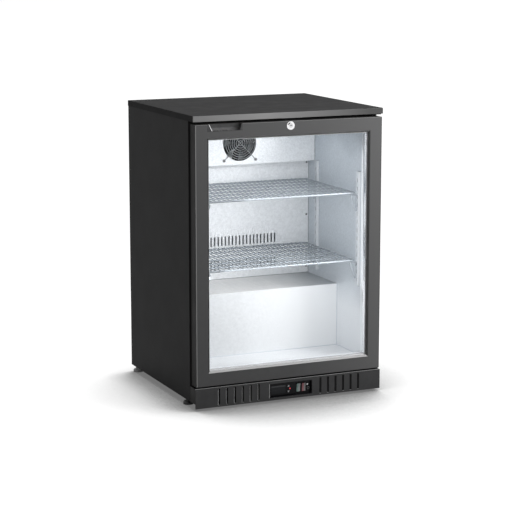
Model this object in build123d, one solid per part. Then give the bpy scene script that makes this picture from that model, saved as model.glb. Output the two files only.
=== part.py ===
from build123d import *
import math
import os

# Undercounter refrigerator with one glass door, in millimetres.
# +Z is up, the door faces -Y, and the origin is on the floor under the middle of the bounding box.

# ---- Driving dimensions -------------------------------------------------------------------------
# Whole cabinet
width = 600.0  # worktop, side to side
depth = 535.0  # lock face to back panel
height = 850.0  # floor to worktop
foot_height = 20.5  # floor to underside of the base pan
sheet = 1.0  # steel skins and liner
base_sheet = 1.5  # base pan

# Worktop
worktop_thickness = 17.0
worktop_overhang = 1.5  # past each side panel
worktop_radius = 1.5
worktop_skin = 1.2

# Insulated walls, skins included
side_wall = 43.5
top_wall = 38.0
back_wall = 44.5
floor_wall = 81.5
bay_front_wall = 35.0
bay_top_wall = 39.0

# Storage space and compressor step
step_height = 273.5  # base pan underside to the top of the step
step_reach = 161.0  # case front to the step's face
duct_depth = 80.0  # duct panel to liner back
cover_step = 44.0  # fan cover in front of the duct panel
cover_height = 139.0
cover_side_gap = 0.5
duct_overlap = 20.0  # duct panel behind the fan cover
fan_drop = 73.0  # ceiling to fan centre

# Door
door_thickness = 36.0
door_inset = 3.5  # door edge inside the side panel's face
door_top_gap = 8.7  # worktop to door
door_bottom_gap = 5.5  # kick plate to door
door_proud = 3.5  # door face in front of the worktop's edge
frame_face = 38.0  # flat front of the door frame
frame_bevel = 5.0
frame_edge = 1.0  # broken edge round the door's face
frame_lip = 6.0  # frame in front of the glass
frame_wall = 2.0
channel_depth = 15.0  # glass channel, from the frame's inner edge
pane = 4.0
pane_gap = 12.0
glass_inset = 1.0  # pane edge short of the channel's bottom
spacer_show = 2.5  # spacer bar past the frame's inner edge
spacer_width = 12.0
gasket_thickness = 6.2
gasket_width = 14.0
gasket_clearance = 0.3

# Hinges
hinge_x_inset = 12.0  # axis from the door's hinge edge
hinge_y_inset = 10.5  # axis from the door's rear face
hinge_pin_radius = 4.0
hinge_plate = 3.0
hinge_plate_reach = 14.0  # plate past the axis
hinge_pin_depth = 14.0  # pin inside the door
hinge_pin_gap = 1.0  # pin's end to the bottom of its bore
hinge_flange_lift = 8.0
washer_radius = 9.0
washer_thickness = 1.6
thrust_gap = 0.1
running_clearance = 0.05
corner_key_leg = 52.0

# Lock
lock_drop = 13.0  # door top to lock axis
lock_proud = 2.0
lock_bezel_radius = 12.5
lock_barrel_radius = 9.0
lock_plug_radius = 6.0
lock_depth = 22.0  # barrel length behind the door face
cam_length = 30.0
cam_width = 11.0
cam_thickness = 2.0
cam_clearance = 1.5
cam_nut_radius = 4.5
cam_nut_height = 4.0
key_slot_width = 1.6
key_slot_height = 6.4
key_slot_depth = 16.0
strike_depth = 10.5  # pocket in the worktop
strike_thickness = 1.5
strike_border = 8.0
strike_ear = 15.0

# Finger pull
pull_start = 39.0  # door edge to the pull
pull_width = 104.0
pull_height = 18.3
pull_depth = 16.5
pull_slant = 12.0
pull_end_slope = 5.0
pull_wall = 2.0
trim_width = 1.6
trim_share = 0.45  # trim's depth over the pull's

# Kick plate and controls
kick_bottom = 7.2
kick_top = 65.5
kick_inset = 0.5  # kick plate's end inside the side panel's face
kick_wall = 2.5
kick_lip = 12.0
louvre_first = 100.0
louvre_pitch = 25.0
louvre_count = 6
louvre_width = 6.5
louvre_blade = 1.2
louvre_reach = 6.0  # blade behind the plate
louvre_low_margin = 5.3
louvre_high_margin = 5.0
control_left = -66.0
control_width = 139.0
control_low_gap = 7.8  # kick plate's lower edge to the control recess
control_high_gap = 8.5
control_depth = 22.0
control_wall = 2.0
control_recess = 6.0
controller_gap = 5.0  # recess's left edge to the controller
controller_width = 81.0
controller_margin = 4.0  # above and below the controller
display_gap = 4.0
display_width = 46.0
display_height = 24.0
display_thickness = 1.5
key_size = 7.0
key_gap = 9.4  # window to the keys' middle
key_offset = 8.5
key_travel = 0.7
key_proud = 0.8
key_pocket = 4.0
key_clearance = 0.2
led_gap = 5.0  # keys' middle to the lamp
led_radius = 2.2
bezel_gap = 0.5  # controller to the switch panel
bezel_recess = 2.0  # switch panel behind the controller's face
rocker_width = 11.0
rocker_height = 27.0
rocker_depth = 8.0
rocker_gap = 11.0  # controller to the first rocker's middle
rocker_pitch = 17.5
rocker_tilt = 6.0  # degrees each side of flat
rocker_clearance = 0.4
rocker_axle_radius = 1.2
rocker_axle_depth = 3.0  # axle behind the switch panel's face

# Shelves
shelf_above_step = 97.0  # step to the lower shelf's wire centres
shelf_below_ceiling = 201.0
shelf_side_gap = 10.0  # liner to the shelf's outer edge
shelf_front_gap = 18.0  # behind the case front
shelf_back_gap = 7.0  # in front of the duct panel
shelf_rim_radius = 3.0
shelf_cross_radius = 2.2
shelf_wire_radius = 1.5
shelf_wire_pitch = 14.7
shelf_cross_count = 5
shelf_corner = 9.0
shelf_rest_gap = 0.3
shelf_sink = 0.3  # wires' middle under the rim's top

# Shelf supports
pilaster_width = 16.0
pilaster_depth = 8.0
pilaster_wall = 1.2
pilaster_above_step = 20.0
pilaster_below_ceiling = 138.0
pilaster_front_offset = 10.0  # behind the case front
pilaster_rear_offset = 58.0  # in front of the duct panel
slot_pitch = 25.0
slot_height = 12.0
slot_width = 4.0
lamp_side_gap = 45.0
lamp_front_gap = 22.0
lamp_width = 24.0
lamp_height = 12.0
lamp_wall = 2.0
lamp_lens = 3.0
clip_reach = 19.0
clip_drop = 60.0
clip_radius = 1.8
clip_spread = 3.0  # half the distance between a clip's two wires

# Evaporator fan, guard and return slots
fan_size = 119.0
fan_depth = 25.0
fan_bore_radius = 55.0
fan_rotor_radius = 53.5
fan_hub_radius = 20.0
fan_screw_offset = 52.5
fan_motor_depth = 6.0
fan_arm_radius = 2.5
fan_shaft_radius = 2.0
fan_rotor_gap = 2.5  # rotor behind the cover
fan_blades = 7
blade_thickness = 2.0
blade_pitch = 38.0  # degrees
guard_standoff = 6.0
guard_eye_radius = 4.6
guard_eye_thickness = 2.2
guard_rings = 7
guard_first_radius = 7.8
guard_ring_pitch = 6.8
guard_wire_radius = 1.1
return_slots = 24
return_pitch = 12.0
return_width = 5.0
return_rows = ((31.0, 63.0), (105.0, 134.0))  # heights above the step

# Rear grille and cable entry
grille_inset = 8.0  # rear face inside the back panel's face
grille_margin = 34.0
grille_side_margin = 72.5
grille_pitch = 15.0
grille_slot = 6.0
grille_screw_inset = 14.0
gland_inset = 42.5  # from the side panel's inner face
gland_height = 24.0
gland_radius = 8.0
gland_flange = 3.0
gland_length = 12.0
cord_radius = 4.0
wiring_width = 40.0
wiring_depth = 45.0
wiring_height = 60.0
wiring_gap = 25.0  # in front of the rear grille

# Refrigeration pieces
fin_thickness = 0.8
evaporator_pitch = 14.0
evaporator_side_gap = 30.0
evaporator_bare_end = 25.0  # tube past the last fins
evaporator_height = 130.0
evaporator_drop = 60.0  # fan cover's lower edge to the coil's middle
evaporator_clearance = 7.0
evaporator_end_inset = 8.0
end_plate = 1.5
tube_radius = 4.5
condenser_fins = 24
condenser_pitch = 8.5
compressor_radius = 74.0
compressor_wall = 9.0  # shell and the works inside it
compressor_x = -150.0
compressor_rear = 129.5  # rear grille to the compressor's axis
compressor_base = (196.0, 104.0, 3.0)
mount_radius = 11.0
mount_height = 12.0
mount_inset = (14.0, 12.0)
tray_size = (160.0, 120.0, 24.0)
tray_wall = 2.0
tray_headroom = 25.0
condenser_x = 140.0
condenser_front = 102.0  # foam front of the bay to the coil's middle
condenser_thickness = 44.0
condenser_lift = 8.0
condenser_headroom = 44.0
condenser_bare_end = 8.0
condenser_fan_margin = 8.0  # blade tips inside the coil's edges
condenser_tip_gap = 4.0
condenser_hub_radius = 26.0
condenser_motor_radius = 28.0
condenser_motor_length = 42.0
condenser_motor_gap = 36.0
shaft_radius = 3.0
shroud_thickness = 1.5
pipe_radius = 3.2
drier_radius = 9.0
drier_length = 80.0

# Feet
foot_radius = 15.0
foot_pad = 9.0
foot_stem_radius = 5.0
foot_stem_past = 4.0  # stem above the nut
foot_nut_radius = 9.0
foot_nut_height = 10.0
foot_inset = 0.5  # pad edge inside the side panel's face
foot_front_offset = 51.0  # axis behind the case front
foot_rear_offset = 18.5  # axis in front of the back panel

# Screws
screw_radius = 4.0
small_screw_radius = 3.0
screw_head = 1.6
duct_screw_inset = 7.0
duct_screw_margin = 21.0

# ---- Places worked out from the sizes -----------------------------------------------------------
back_y = depth / 2
lock_face_y = -depth / 2
door_front_y = lock_face_y + lock_proud
worktop_front_y = door_front_y + door_proud
door_rear_y = door_front_y + door_thickness
case_front_y = door_rear_y + gasket_thickness + gasket_clearance
worktop_z = height - worktop_thickness
side_x = width / 2 - worktop_overhang
skin_x = side_x - sheet
liner_x = side_x - side_wall
foam_x = liner_x + sheet
ceiling_z = worktop_z - top_wall
floor_z = foot_height + floor_wall
pan_z = foot_height + base_sheet
step_z = foot_height + step_height
step_y = case_front_y + step_reach
liner_back_y = back_y - back_wall
duct_y = liner_back_y - duct_depth
cover_y = duct_y - cover_step
cover_z = ceiling_z - cover_height
fan_z = ceiling_z - fan_drop
skin_front_y = case_front_y + sheet
skin_back_y = back_y - sheet
bay_y = step_y + bay_front_wall
bay_z = step_z - bay_top_wall
grille_y = back_y - grille_inset
gland_x = -skin_x + gland_inset
gland_z = pan_z + gland_height
grille_slots = int(2 * (skin_x - grille_side_margin) / grille_pitch)

door_x = side_x - door_inset
door_top = worktop_z - door_top_gap
door_bottom = kick_top + door_bottom_gap
frame_width = frame_face + frame_bevel
cavity_width = frame_width - channel_depth - 2 * frame_wall
glass_front_y = door_front_y + frame_lip
glass_edge = frame_width - channel_depth + glass_inset
hinge_x = door_x - hinge_x_inset
hinge_y = door_rear_y - hinge_y_inset
hinge_bore = hinge_pin_radius + running_clearance
lock_z = door_top - lock_drop
cam_y = door_front_y + lock_depth
pull_left = -door_x + pull_start
pull_right = pull_left + pull_width
pull_low = door_top - pull_height

shelf_half = liner_x - shelf_side_gap - shelf_rim_radius
shelf_front = case_front_y + shelf_front_gap + shelf_rim_radius
shelf_back = duct_y - shelf_back_gap - shelf_rim_radius
shelf_levels = (step_z + shelf_above_step, ceiling_z - shelf_below_ceiling)
foot_x = side_x - foot_inset - foot_radius
foot_ys = (case_front_y + foot_front_offset, back_y - foot_rear_offset)
foot_stem_top = pan_z + foot_nut_height + foot_stem_past
pilaster_ys = (case_front_y + pilaster_front_offset, duct_y - pilaster_rear_offset - pilaster_width)
pilaster_low = step_z + pilaster_above_step
pilaster_high = ceiling_z - pilaster_below_ceiling

kick_half_width = side_x - kick_inset
louvre_low = kick_bottom + louvre_low_margin
louvre_high = kick_top - louvre_high_margin
control_right = control_left + control_width
control_low = kick_bottom + control_low_gap
control_high = kick_top - control_high_gap
control_z = (control_low + control_high) / 2
controller_left = control_left + controller_gap
controller_right = controller_left + controller_width
controller_low = control_low + controller_margin
controller_high = control_high - controller_margin
display_x = controller_left + display_gap
key_x = display_x + display_width + key_gap
rocker_first = controller_right + rocker_gap

bay_roof_z = bay_z - sheet
compressor_y = grille_y - compressor_rear
compressor_z = pan_z + mount_height + compressor_base[2]
compressor_height = bay_roof_z - tray_headroom - tray_size[2] - compressor_z
condenser_y = bay_y + condenser_front
condenser_height = bay_roof_z - condenser_headroom - condenser_lift - pan_z
condenser_z = pan_z + condenser_lift + condenser_height / 2
condenser_reach = condenser_fins * condenser_pitch + 2 * condenser_bare_end
condenser_fan_radius = condenser_height / 2 - condenser_fan_margin


# ---- Helpers ------------------------------------------------------------------------------------
def block(x0, x1, y0, y1, z0, z1):
    """Box between two corners."""
    size = Box(x1 - x0, y1 - y0, z1 - z0, align=(Align.MIN, Align.MIN, Align.MIN))
    return Pos(x0, y0, z0) * size


def along_y(x, y, z, radius, length):
    """Cylinder from (x, y, z) towards +Y."""
    plane = Plane(origin=(x, y, z), x_dir=(1, 0, 0), z_dir=(0, 1, 0))
    return plane * Cylinder(radius, length, align=(Align.CENTER, Align.CENTER, Align.MIN))


def along_x(x, y, z, radius, length):
    """Cylinder from (x, y, z) towards +X."""
    plane = Plane(origin=(x, y, z), z_dir=(1, 0, 0))
    return plane * Cylinder(radius, length, align=(Align.CENTER, Align.CENTER, Align.MIN))


def upright(x, y, z, radius, length):
    """Cylinder from (x, y, z) towards +Z."""
    return Pos(x, y, z) * Cylinder(radius, length, align=(Align.CENTER, Align.CENTER, Align.MIN))


def rod(start, end, radius):
    """Round bar between two points."""
    start, end = Vector(*start), Vector(*end)
    bar = Cylinder(radius, (end - start).length, align=(Align.CENTER, Align.CENTER, Align.MIN))
    return Plane(origin=start, z_dir=end - start) * bar


def wire(points, radius, bends, close=False):
    """Round wire or pipe along straight runs joined by arcs."""
    path = FilletPolyline(*points, radius=bends, close=close)
    section = Plane(origin=path @ 0, z_dir=path % 0) * Circle(radius)
    return sweep(section, path=path)


def prism_xz(points, y0, y1):
    """Prism with an outline in X and Z, from y0 to y1."""
    face = make_face(Plane.XZ * Polyline(*points, close=True))
    return Pos(0, y0, 0) * extrude(face, amount=y1 - y0, dir=(0, 1, 0))


def mitred_frame(profile, half, low, high, y):
    """Four bars with 45 degree ends round a rectangle; the profile runs inwards and to the rear."""
    reach = profile.bounding_box().max.X
    middle = (low + high) / 2
    corners = {
        "left": [(-half, low), (-half, high), (-half + reach, high - reach), (-half + reach, low + reach)],
        "right": [(half, low), (half, high), (half - reach, high - reach), (half - reach, low + reach)],
        "top": [(-half, high), (half, high), (half - reach, high - reach), (-half + reach, high - reach)],
        "bottom": [(-half, low), (half, low), (half - reach, low + reach), (-half + reach, low + reach)],
    }
    starts = {
        "left": Plane(origin=(-half, y, middle), x_dir=(1, 0, 0), z_dir=(0, 0, 1)),
        "right": Plane(origin=(half, y, middle), x_dir=(-1, 0, 0), z_dir=(0, 0, -1)),
        "top": Plane(origin=(0, y, high), x_dir=(0, 0, -1), z_dir=(1, 0, 0)),
        "bottom": Plane(origin=(0, y, low), x_dir=(0, 0, 1), z_dir=(-1, 0, 0)),
    }
    length = max(half, high - low)
    bars = {}
    for name, plane in starts.items():
        bar = extrude(plane * profile, amount=length, both=True)
        bars[name] = bar & prism_xz(corners[name], y - depth, y + depth)
    return bars


def both_sides(shape):
    """The shape and its mirror image across X = 0."""
    return [shape, mirror(shape, about=Plane.YZ)]


def save(name, *shapes):
    """Write one node, each shape a solid of its own."""
    solids = [solid for shape in shapes for solid in shape.solids()]
    export_step(Compound(solids), f"parts/{name}.step")


# ---- Outer case ---------------------------------------------------------------------------------
def make_base_pan():
    """Pan under the whole case, with a welded nut over each foot."""
    pan = block(-skin_x, skin_x, case_front_y, skin_back_y, foot_height, pan_z)
    bore = foot_stem_radius + running_clearance
    places = [(x, y) for x in (-foot_x, foot_x) for y in foot_ys]
    pan -= [upright(x, y, foot_height, bore, base_sheet) for x, y in places]
    nuts = []
    for x, y in places:
        nut = upright(x, y, pan_z, foot_nut_radius, foot_nut_height)
        nuts.append(nut - upright(x, y, pan_z, bore, foot_nut_height))
    save("base_pan", pan, *nuts)


def make_case():
    side = block(skin_x, side_x, case_front_y, skin_back_y, foot_height, worktop_z)
    save("side_panels", *both_sides(side))
    stile = block(liner_x, skin_x, case_front_y, skin_front_y, pan_z, worktop_z - sheet)
    top_rail = block(-liner_x, liner_x, case_front_y, skin_front_y, ceiling_z, worktop_z - sheet)
    bottom_rail = block(-liner_x, liner_x, case_front_y, skin_front_y, pan_z, floor_z)
    save("front_frame", *both_sides(stile), top_rail, bottom_rail)
    roof = block(-skin_x, skin_x, case_front_y, skin_back_y, worktop_z - sheet, worktop_z)
    save("back_panel", block(-side_x, side_x, skin_back_y, back_y, bay_z, worktop_z))
    bay_front = block(-foam_x, foam_x, bay_y, bay_y + sheet, pan_z, bay_z)
    bay_top = block(-skin_x, skin_x, bay_y + sheet, skin_back_y, bay_z - sheet, bay_z)
    save("inner_panels", roof, bay_front, bay_top)


def make_insulation():
    foam_back_y = liner_back_y + sheet
    side_upper = block(foam_x, skin_x, skin_front_y, skin_back_y, bay_z, worktop_z - sheet)
    side_lower = block(foam_x, skin_x, skin_front_y, bay_y + sheet, pan_z, bay_z)
    side_lower -= upright(foot_x, foot_ys[0], pan_z, foot_nut_radius, foot_stem_top - pan_z + 2)
    top = block(-foam_x, foam_x, skin_front_y, foam_back_y, ceiling_z + sheet, worktop_z - sheet)
    back = block(-foam_x, foam_x, foam_back_y, skin_back_y, bay_z, worktop_z - sheet)
    step_top = block(-foam_x, foam_x, bay_y, foam_back_y, bay_z, step_z - sheet)
    step_front = block(-foam_x, foam_x, step_y + sheet, bay_y, pan_z, step_z - sheet)
    floor = block(-foam_x, foam_x, skin_front_y, step_y + sheet, pan_z, floor_z - sheet)
    save("insulation", *both_sides(side_upper), *both_sides(side_lower), top, back, step_top,
         step_front, floor)


def make_liner():
    foam_back_y = liner_back_y + sheet
    low_side = block(liner_x, foam_x, skin_front_y, step_y + sheet, floor_z - sheet, step_z - sheet)
    side = block(liner_x, foam_x, skin_front_y, foam_back_y, step_z - sheet, ceiling_z + sheet)
    floor = block(-liner_x, liner_x, skin_front_y, step_y + sheet, floor_z - sheet, floor_z)
    ceiling = block(-liner_x, liner_x, skin_front_y, foam_back_y, ceiling_z, ceiling_z + sheet)
    back = block(-liner_x, liner_x, liner_back_y, foam_back_y, step_z, ceiling_z)
    save("liner", *both_sides(low_side), *both_sides(side), floor, ceiling, back)
    step_front = block(-liner_x, liner_x, step_y, step_y + sheet, floor_z, step_z - sheet)
    step_top = block(-liner_x, liner_x, step_y, foam_back_y, step_z - sheet, step_z)
    save("step_cover", step_front, step_top)


def cam_slot(z0, z1, side_room):
    """Space that the swinging lock cam needs between two heights."""
    half = cam_width / 2 + cam_clearance
    reach = math.sqrt((cam_length + cam_clearance) ** 2 - max(z0 - lock_z - half, 0) ** 2)
    y0 = cam_y - side_room
    return block(-half, reach, y0, cam_y + cam_thickness + side_room, z0, z1)


def make_worktop():
    slab = block(-width / 2, width / 2, worktop_front_y, back_y, worktop_z, height)
    outer = fillet(slab.edges().filter_by(Axis.Z) + slab.faces().sort_by(Axis.Z)[-1].edges(), worktop_radius)
    inner = block(-width / 2 + worktop_skin, width / 2 - worktop_skin, worktop_front_y + worktop_skin,
                  back_y - worktop_skin, worktop_z, height - worktop_skin)
    save("worktop_skin", outer - inner)
    pocket = cam_slot(worktop_z, worktop_z + strike_depth, cam_clearance + 0.5)
    save("worktop_core", inner - pocket)
    plate = block(-cam_width / 2 - cam_clearance - strike_ear, cam_length + strike_ear - 1,
                  cam_y - strike_border, cam_y + cam_thickness + strike_border,
                  worktop_z - strike_thickness, worktop_z)
    save("strike_plate", plate - cam_slot(worktop_z - strike_thickness, worktop_z, cam_clearance))


def make_back_grille():
    grille = block(-skin_x, skin_x, grille_y - sheet, grille_y, pan_z, bay_z - sheet)
    slot_low, slot_high = pan_z + grille_margin, bay_z - sheet - grille_margin
    cuts = [along_y(gland_x, grille_y - sheet, gland_z, gland_radius, sheet)]
    for column in range(grille_slots):
        x = (column - (grille_slots - 1) / 2) * grille_pitch
        cuts.append(block(x - grille_slot / 2, x + grille_slot / 2, grille_y - sheet, grille_y,
                          slot_low, slot_high))
    save("rear_grille", grille - cuts)
    gland = along_y(gland_x, grille_y, gland_z, gland_radius + gland_flange, gland_flange)
    gland += along_y(gland_x, grille_y - gland_length, gland_z, gland_radius, gland_length)
    gland -= along_y(gland_x, grille_y - gland_length, gland_z, cord_radius, gland_length + gland_flange)
    wiring_y = grille_y - wiring_gap
    wiring_box = block(gland_x - wiring_width / 2, gland_x + wiring_width / 2, wiring_y - wiring_depth,
                       wiring_y, pan_z, pan_z + wiring_height)
    save("cable_entry", gland, wiring_box)
    return [along_y(x, grille_y, z, screw_radius, screw_head)
            for x in (-skin_x + grille_screw_inset, skin_x - grille_screw_inset)
            for z in (slot_low, slot_high)]


# ---- Door ---------------------------------------------------------------------------------------
def frame_profile():
    """Hollow section of the door frame: inwards along X, to the rear along Y."""
    rear_channel = frame_lip + 2 * pane + pane_gap
    channel = frame_width - channel_depth
    outline = Polyline(
        (0, frame_edge), (frame_edge, 0), (frame_face, 0), (frame_width, frame_lip - 0.5),
        (frame_width, frame_lip),
        (channel, frame_lip), (channel, rear_channel), (frame_width, rear_channel),
        (frame_width, door_thickness - frame_bevel), (frame_face, door_thickness),
        (0, door_thickness), close=True,
    )
    hollow = Pos(frame_wall, frame_wall) * Rectangle(
        cavity_width, door_thickness - 2 * frame_wall, align=(Align.MIN, Align.MIN)
    )
    return make_face(outline) - hollow


def make_door_frame():
    bars = mitred_frame(frame_profile(), door_x, door_bottom, door_top, door_front_y)
    top, bottom = bars["top"], bars["bottom"]
    top -= upright(hinge_x, hinge_y, door_top - frame_wall, hinge_bore, frame_wall)
    bottom -= upright(hinge_x, hinge_y, door_bottom, hinge_bore, frame_wall)
    top -= along_y(0, door_front_y, lock_z, lock_barrel_radius, frame_wall)
    top -= cam_slot(door_top - frame_wall, door_top, cam_clearance)
    top -= block(pull_left - pull_wall, pull_right + pull_wall, door_front_y,
                 door_front_y + pull_depth + pull_wall, pull_low - pull_wall, door_top)
    save("door_frame", top, bottom, bars["left"], bars["right"])


def make_corner_keys():
    """Blocks inside the frame's corners; the two on the hinge side hold the pins."""
    y0, y1 = door_front_y + frame_wall, door_rear_y - frame_wall
    x1 = door_x - frame_wall
    x0 = x1 - cavity_width
    keys = []
    for low in (True, False):
        z0 = door_bottom + frame_wall if low else door_top - frame_wall - cavity_width
        z1 = z0 + cavity_width
        leg_z0 = z0 if low else z1 - corner_key_leg
        corner = block(x0, x1, y0, y1, leg_z0, leg_z0 + corner_key_leg)
        corner += block(x1 - corner_key_leg, x1, y0, y1, z0, z1)
        bore_length = hinge_pin_depth + hinge_pin_gap - frame_wall
        bore = upright(hinge_x, hinge_y, z0 if low else z1 - bore_length, hinge_bore, bore_length)
        keys.append(corner - bore)
        if low:
            keys.append(mirror(corner, about=Plane.YZ))
    top_key_z = door_top - frame_wall
    keys.append(block(-x1, -x0, y0, y1, top_key_z - corner_key_leg, top_key_z))
    save("door_corner_keys", *keys)


def make_glazing():
    half = door_x - glass_edge
    low, high = door_bottom + glass_edge, door_top - glass_edge
    outer = block(-half, half, glass_front_y, glass_front_y + pane, low, high)
    save("door_glass", outer, Pos(0, pane + pane_gap, 0) * outer)
    spacer_edge = frame_width + spacer_show - spacer_width
    bar = Pos(spacer_edge, 0) * Rectangle(spacer_width, pane_gap, align=(Align.MIN, Align.MIN))
    bars = mitred_frame(bar, door_x, door_bottom, door_top, glass_front_y + pane)
    save("glazing_spacer", *bars.values())


def make_gasket():
    soft = Pos(hinge_x_inset, 0) * Rectangle(gasket_width, gasket_thickness, align=(Align.MIN, Align.MIN))
    bars = mitred_frame(soft, door_x, door_bottom, door_top, door_rear_y)
    save("door_gasket", *bars.values())


def make_finger_pull():
    y1 = door_front_y + pull_depth + pull_wall
    shell = block(pull_left - pull_wall, pull_right + pull_wall, door_front_y, y1,
                  pull_low - pull_wall, door_top)
    above = 5.0  # the scoop's cutter runs past the top and the front
    outline = [(pull_left, door_top + above), (pull_left + pull_slant, pull_low),
               (pull_right - pull_end_slope, pull_low), (pull_right, door_top + above)]
    scoop = prism_xz(outline, door_front_y - above, door_front_y + pull_depth)
    rear_edges = scoop.faces().sort_by(Axis.Y)[-1].edges().filter_by(
        lambda edge: edge.center().Z < door_top
    )
    save("finger_pull", shell - fillet(rear_edges, pull_depth / 2))
    x_top, x_low = pull_left + pull_slant * 0.25, pull_left + pull_slant
    edge = [(x_top, door_top), (x_top + trim_width, door_top), (x_low + trim_width, pull_low),
            (x_low, pull_low)]
    save("finger_pull_trim", prism_xz(edge, door_front_y, door_front_y + pull_depth * trim_share))


def make_lock():
    bezel = along_y(0, lock_face_y, lock_z, lock_bezel_radius, lock_proud)
    bezel = chamfer(bezel.edges().sort_by(Axis.Y)[0], 0.8)
    barrel = bezel + along_y(0, door_front_y, lock_z, lock_barrel_radius, lock_depth - 1)
    bore = along_y(0, lock_face_y, lock_z, lock_plug_radius + running_clearance, lock_proud + lock_depth)
    save("lock_barrel", barrel - bore)
    plug = along_y(0, lock_face_y, lock_z, lock_plug_radius, cam_y - lock_face_y)
    key_slot = block(-key_slot_height / 2, key_slot_height / 2, lock_face_y,
                     lock_face_y + key_slot_depth,
                     lock_z - key_slot_width / 2, lock_z + key_slot_width / 2)
    save("lock_plug", plug - key_slot)
    half = cam_width / 2
    cam = along_y(0, cam_y, lock_z, half, cam_thickness)
    cam += block(0, cam_length, cam_y, cam_y + cam_thickness, lock_z - half, lock_z + half)
    save("lock_cam", cam, along_y(0, cam_y + cam_thickness, lock_z, cam_nut_radius, cam_nut_height))


def make_hinges():
    y0, y1 = hinge_y - hinge_plate_reach, case_front_y
    x0 = hinge_x - hinge_plate_reach
    plate = block(x0, skin_x, y0, y1, worktop_z - hinge_plate, worktop_z)
    pin_z = door_top - hinge_pin_depth
    pin = upright(hinge_x, hinge_y, pin_z, hinge_pin_radius, worktop_z - hinge_plate - pin_z)
    washer_z = door_bottom - thrust_gap - washer_thickness
    flange_x = kick_half_width - kick_wall - 4 * running_clearance
    flange_z = pan_z + hinge_flange_lift
    low_plate = block(x0, skin_x, y0, y1, washer_z - hinge_plate, washer_z)
    low_plate += block(x0, flange_x, y1 - hinge_plate, y1, flange_z, washer_z - hinge_plate)
    low_plate += upright(hinge_x, hinge_y, washer_z, washer_radius, washer_thickness)
    low_plate += upright(hinge_x, hinge_y, washer_z, hinge_pin_radius,
                         door_bottom - washer_z + hinge_pin_depth)
    save("door_hinges", plate + pin, low_plate)
    return [along_y(hinge_x, y1 - hinge_plate - screw_head, flange_z + lift * screw_radius, screw_radius,
                    screw_head) for lift in (2, 6)]


# ---- Kick plate and controls --------------------------------------------------------------------
def make_kick_plate():
    y0, y1 = door_front_y, door_front_y + kick_wall
    kick = block(-kick_half_width, kick_half_width, y0, y1, kick_bottom, kick_top)
    kick += block(-kick_half_width, kick_half_width, y1, y0 + kick_lip, kick_top - kick_wall, kick_top)
    for side in both_sides(block(kick_half_width - kick_wall, kick_half_width, y1, case_front_y,
                                 foot_height, kick_top)):
        kick += side
    slots, blades = [], []
    for index in range(louvre_count):
        x = louvre_first + louvre_pitch * index
        inner, outer = x - louvre_width / 2, x + louvre_width / 2
        slots += both_sides(block(inner, outer, y0, y1, louvre_low, louvre_high))
        outline = Polyline((outer, y1), (outer + louvre_blade, y1), (inner + louvre_blade, y1 + louvre_reach),
                           (inner, y1 + louvre_reach), close=True)
        face = Plane.XY.offset(louvre_low) * make_face(outline)
        blades += both_sides(extrude(face, amount=louvre_high - louvre_low, dir=(0, 0, 1)))
    kick = (kick - slots).fuse(*blades)
    kick -= block(control_left, control_right, y0, y1, control_low, control_high)
    save("kick_plate", kick)


def make_controller(face_y, floor_y):
    """Temperature controller: its case, window, two keys and lamp."""
    case = block(controller_left, controller_right, face_y, floor_y, controller_low, controller_high)
    window = block(display_x, display_x + display_width, face_y, face_y + display_thickness,
                   control_z - display_height / 2, control_z + display_height / 2)
    case -= window
    half = key_size / 2
    pocket = half + key_clearance
    for name, z in (("key_up", control_z + key_offset), ("key_down", control_z - key_offset)):
        case -= block(key_x - pocket, key_x + pocket, face_y, face_y + key_pocket, z - pocket, z + pocket)
        save(name, block(key_x - half, key_x + half, face_y - key_proud,
                         face_y + key_pocket - key_travel - key_clearance, z - half, z + half))
    led = along_y(key_x + led_gap, face_y - key_clearance, control_z, led_radius, led_radius * 2)
    save("controller", case - led)
    save("controller_display", window)
    save("status_led", led)


def make_rocker(x, face_y):
    """Rocker switch, tipped to its lower side, with its axle and the window that it needs."""
    half, low, high = rocker_width / 2, control_z - rocker_height / 2, control_z + rocker_height / 2
    rise = math.tan(math.radians(rocker_tilt)) * rocker_height / 2
    ridge, back = face_y - 1.2, face_y + rocker_depth
    side_view = Polyline((ridge - 1 - rise, high - 1), (ridge, control_z), (ridge - 1 + rise, low + 1),
                         (back, control_z - 3), (back, control_z + 3), close=True)
    body = extrude(Plane.YZ.offset(x - half) * make_face(side_view), amount=rocker_width, dir=(1, 0, 0))
    room = half + rocker_clearance
    axle_y = face_y + rocker_axle_depth
    axle = along_x(x - room, axle_y, control_z, rocker_axle_radius, 2 * room)
    bore = along_x(x - room, axle_y, control_z, rocker_axle_radius + running_clearance, 2 * room)
    window = block(x - room, x + room, face_y, back + 1, low - 2 * rocker_clearance,
                   high + 2 * rocker_clearance)
    return body - bore, axle, window


def make_controls():
    y0, y1 = door_front_y, door_front_y + control_depth
    left, right = control_left + control_wall, control_right - control_wall
    low, high = control_low + control_wall, control_high - control_wall
    housing = block(control_left, control_right, y0, y1, control_low, control_high)
    save("control_housing", housing - block(left, right, y0, y1 - control_wall, low, high))
    face_y = y0 + control_recess
    make_controller(face_y, y1 - control_wall)
    panel_y = face_y + bezel_recess
    panel = block(controller_right + bezel_gap, right, panel_y, y1 - control_wall, low, high)
    for index, name in enumerate(("rocker_light", "rocker_fan")):
        rocker, axle, window = make_rocker(rocker_first + rocker_pitch * index, panel_y)
        panel = panel - window + axle
        save(name, rocker)
    save("switch_panel", panel)


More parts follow.
